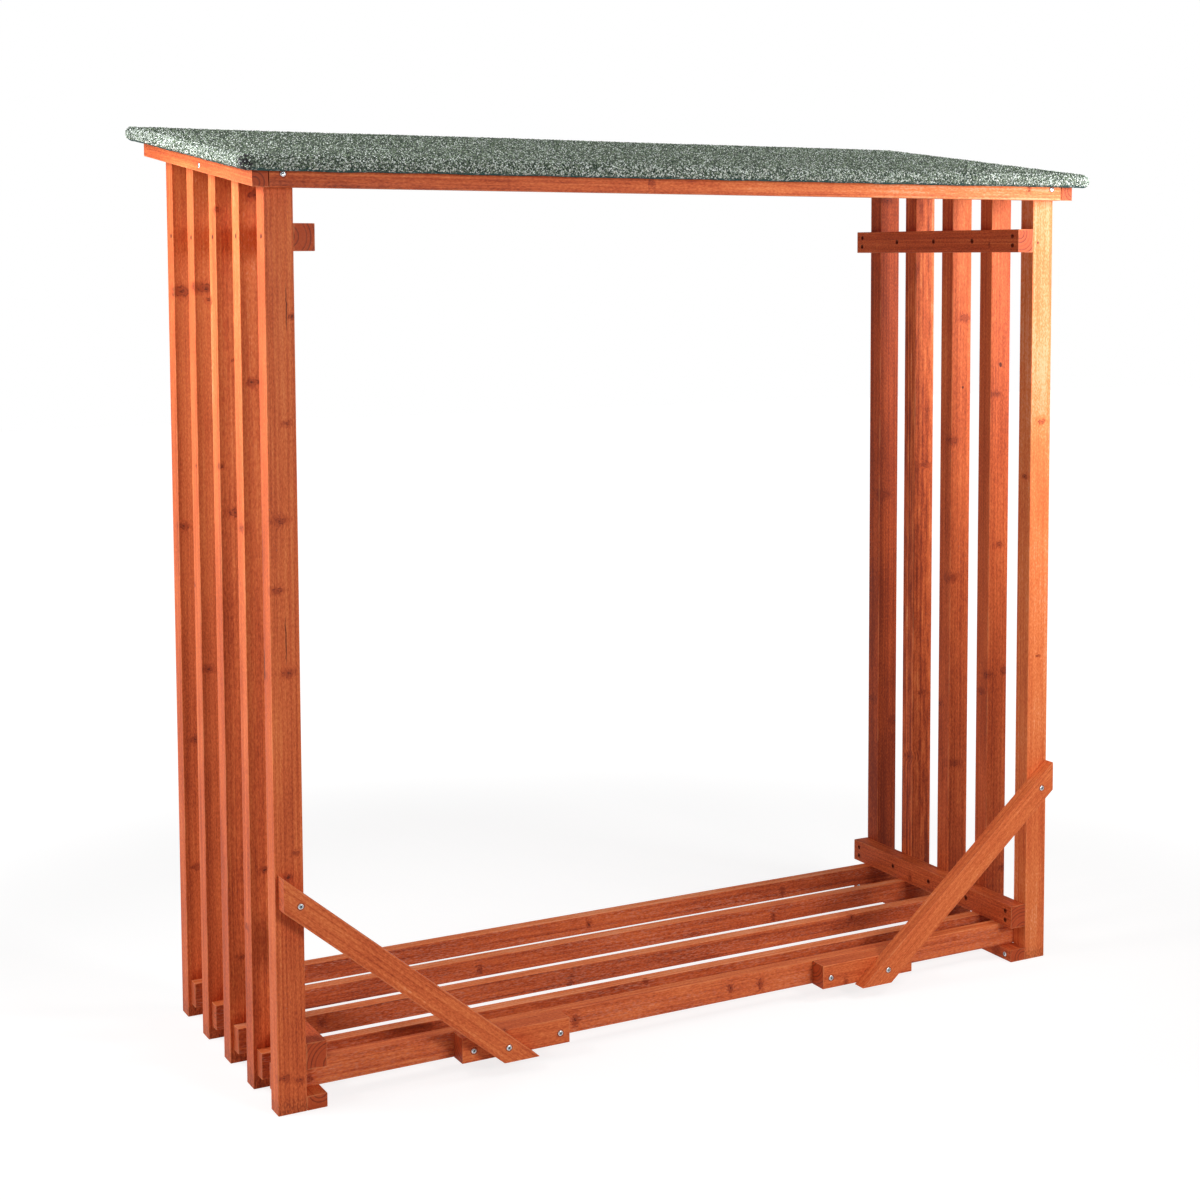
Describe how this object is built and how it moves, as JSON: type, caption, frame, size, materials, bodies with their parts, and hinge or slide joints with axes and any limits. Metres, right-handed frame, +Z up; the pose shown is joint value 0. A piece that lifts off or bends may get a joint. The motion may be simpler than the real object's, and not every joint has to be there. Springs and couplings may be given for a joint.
{
  "type": "log store",
  "caption": "Open timber log store with slatted side walls, a slatted floor, knee braces and a sloping felted roof, for stacking firewood outdoors.",
  "frame": {"origin": "on the ground under the middle of the roof", "axes": "+X along the width to the right seen from the open front, +Y from the front to the back, +Z up"},
  "size_m": [1.822, 0.7454, 1.7658],
  "materials": {
    "upright_timber": "stained softwood, satin",
    "floor_timber": "stained softwood, satin",
    "rail_timber": "stained softwood, satin",
    "brace_timber": "stained softwood, satin",
    "block_timber": "stained softwood, satin",
    "rafter_timber": "stained softwood, satin",
    "beam_timber": "stained softwood, satin",
    "roof_board": "plain board, matt",
    "roof_felt": "mineral granules, rough"
  },
  "bodies": {
    "root": {"left_slat_1": "upright_timber", "right_slat_1": "upright_timber", "left_slat_2": "upright_timber", "right_slat_2": "upright_timber", "left_slat_3": "upright_timber", "right_slat_3": "upright_timber", "left_slat_4": "upright_timber", "right_slat_4": "upright_timber", "left_slat_5": "upright_timber", "right_slat_5": "upright_timber", "floor_slat_1": "floor_timber", "floor_slat_2": "floor_timber", "floor_slat_3": "floor_timber", "floor_slat_4": "floor_timber", "floor_slat_5": "floor_timber", "left_foot_rail": "rail_timber", "right_foot_rail": "rail_timber", "left_lower_rail": "rail_timber", "right_lower_rail": "rail_timber", "left_upper_rail": "rail_timber", "right_upper_rail": "rail_timber", "left_brace": "brace_timber", "left_brace_block": "block_timber", "left_rafter": "rafter_timber", "right_brace": "brace_timber", "right_brace_block": "block_timber", "right_rafter": "rafter_timber", "front_beam": "beam_timber", "rear_beam": "beam_timber", "roof_board": "roof_board", "roof_felt": "roof_felt"}
  },
  "joints": []
}
